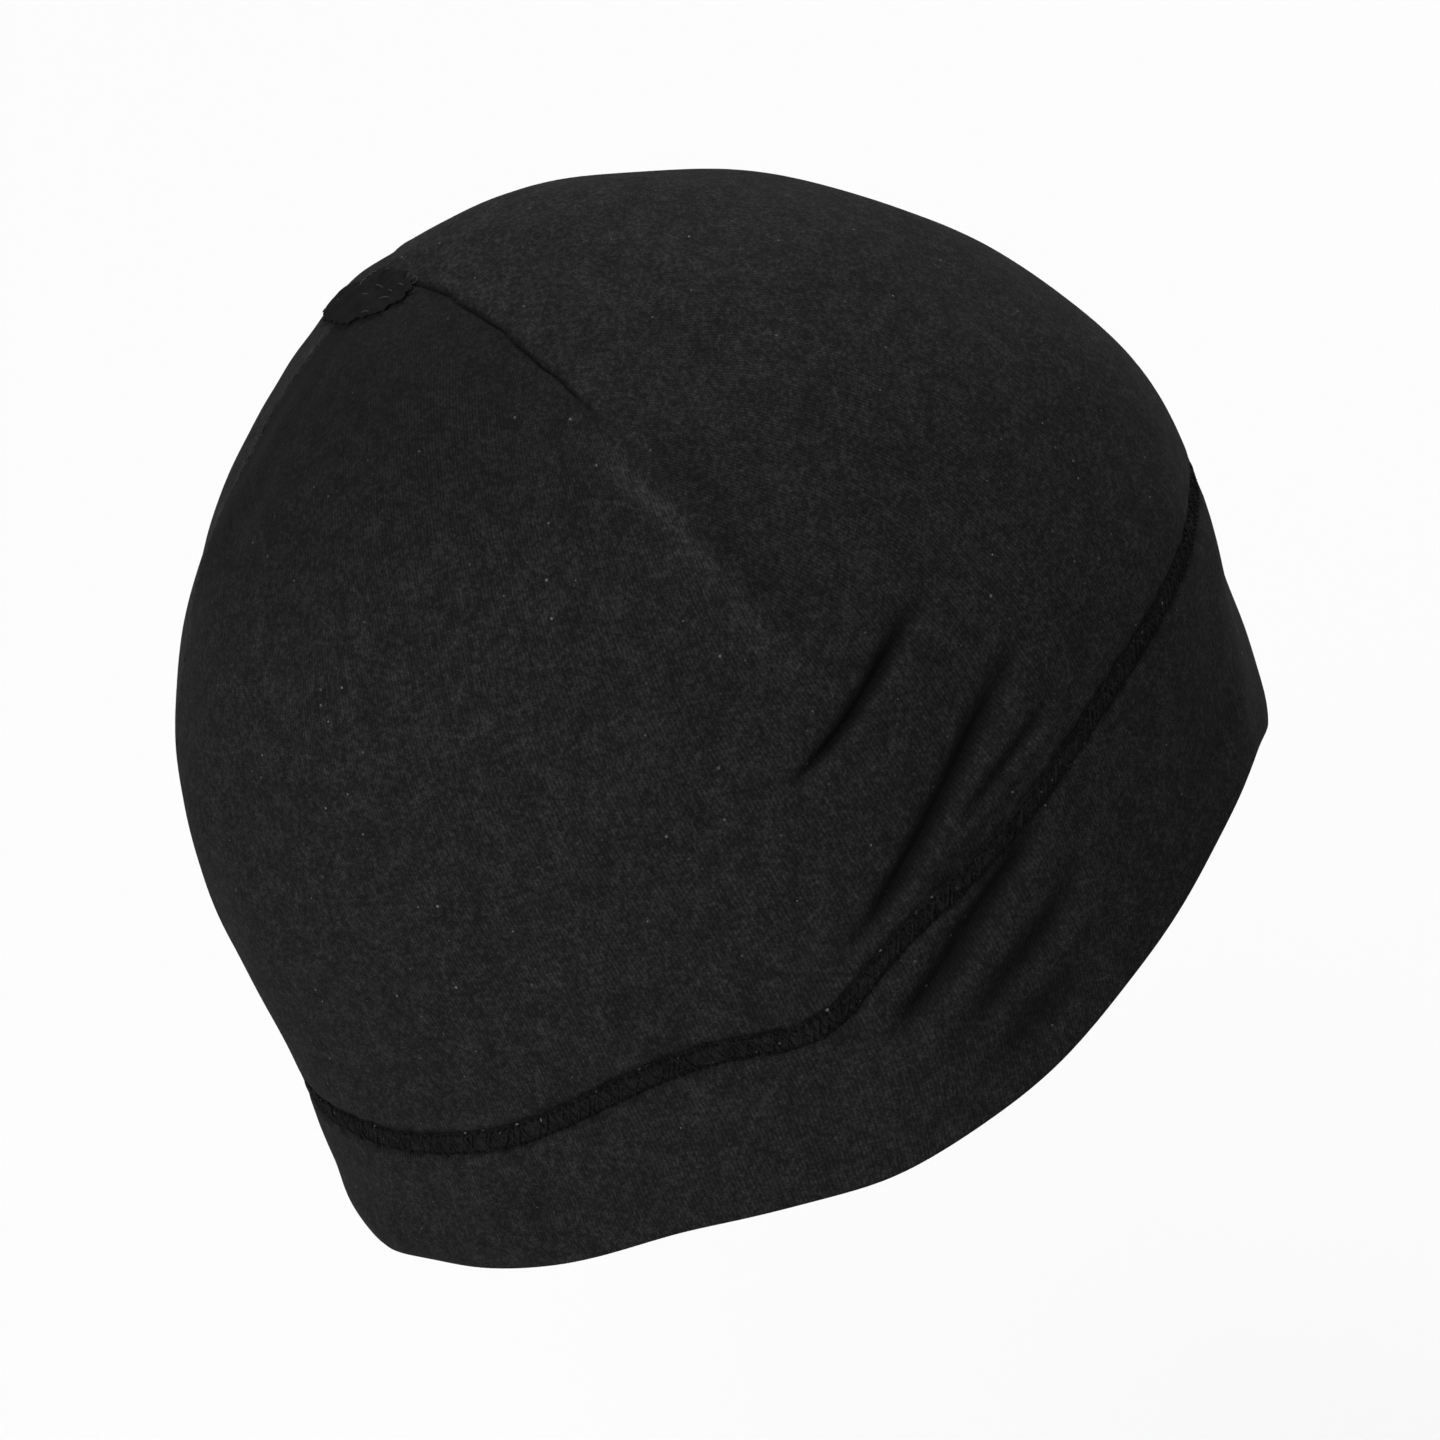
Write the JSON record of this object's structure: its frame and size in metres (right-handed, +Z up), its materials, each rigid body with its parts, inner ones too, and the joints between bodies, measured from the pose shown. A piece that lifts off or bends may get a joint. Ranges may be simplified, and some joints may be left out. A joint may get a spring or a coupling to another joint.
{
  "type": "skull cap",
  "caption": "Close-fitting jersey skull cap shaped as worn: darted crown gathered to a tip at the back, flat joining seam and a folded band round a tilted head opening.",
  "frame": {"origin": "middle of the head opening, on the centre plane, where the cap sits on a head", "axes": "+Z is up as worn on an upright head, -Y is the front of the cap, +X is the wearer's left"},
  "size_m": [0.1582, 0.2003, 0.1963],
  "materials": {
    "crown_jersey": "fine single jersey with a short fuzzy nap",
    "tip_jersey": "dense overlocked cloth, smoother and darker than the jersey",
    "seam_thread": "looped cover stitching",
    "band_jersey": "fine single jersey folded double"
  },
  "bodies": {
    "root": {"crown": "crown_jersey", "crown_tip": "tip_jersey", "joining_seam": "seam_thread", "band": "band_jersey"}
  },
  "joints": []
}
